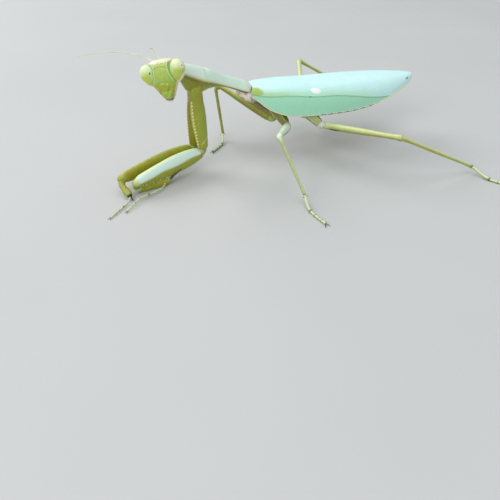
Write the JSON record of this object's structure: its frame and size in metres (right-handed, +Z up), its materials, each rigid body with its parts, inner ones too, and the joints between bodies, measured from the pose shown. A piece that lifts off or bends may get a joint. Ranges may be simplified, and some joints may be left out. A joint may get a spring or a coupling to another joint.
{
  "type": "praying mantis",
  "caption": "Still life-size praying mantis, standing with its forelegs laid on the floor, its head turned aside and its wings closed over its back.",
  "frame": {"origin": "middle of the whole animal's bounding box, on the floor it stands on", "axes": "-X the way the body points, from the wing tips to the head; +Z up; the animal's left side is towards -Y"},
  "size_m": [0.0882, 0.0656, 0.0312],
  "materials": {
    "skin": "waxy green cuticle, paler on the back and on the outer faces of the legs",
    "eye": "smooth pale green with a small dark false pupil",
    "feeler": "thin, pale and ringed",
    "mouth": "olive and brown mouthparts with pale palps",
    "wing": "satin mint green with fine veins and a white spot",
    "hind_wing": "thin pleated membrane",
    "spine": "hard dark tips of spines and claws"
  },
  "bodies": {
    "root": {"head": "skin", "neck": "skin", "prothorax": "skin", "thorax": "skin", "abdomen_front": "skin", "abdomen_rear": "skin", "cercus_left": "skin", "cercus_right": "skin", "coxa_fore_left": "skin", "femur_fore_left": "skin", "tibia_fore_left": "skin", "tarsus_fore_left": "skin", "coxa_fore_right": "skin", "femur_fore_right": "skin", "tibia_fore_right": "skin", "tarsus_fore_right": "skin", "coxa_mid_left": "skin", "femur_mid_left": "skin", "tibia_mid_left": "skin", "tarsus_mid_left": "skin", "coxa_mid_right": "skin", "femur_mid_right": "skin", "tibia_mid_right": "skin", "tarsus_mid_right": "skin", "coxa_hind_left": "skin", "femur_hind_left": "skin", "tibia_hind_left": "skin", "tarsus_hind_left": "skin", "coxa_hind_right": "skin", "femur_hind_right": "skin", "tibia_hind_right": "skin", "tarsus_hind_right": "skin", "mouthparts": "mouth", "eye_left": "eye", "eye_right": "eye", "antenna_left": "feeler", "antenna_right": "feeler", "tegmen_left": "wing", "tegmen_right": "wing", "hindwings": "hind_wing"}
  },
  "joints": []
}
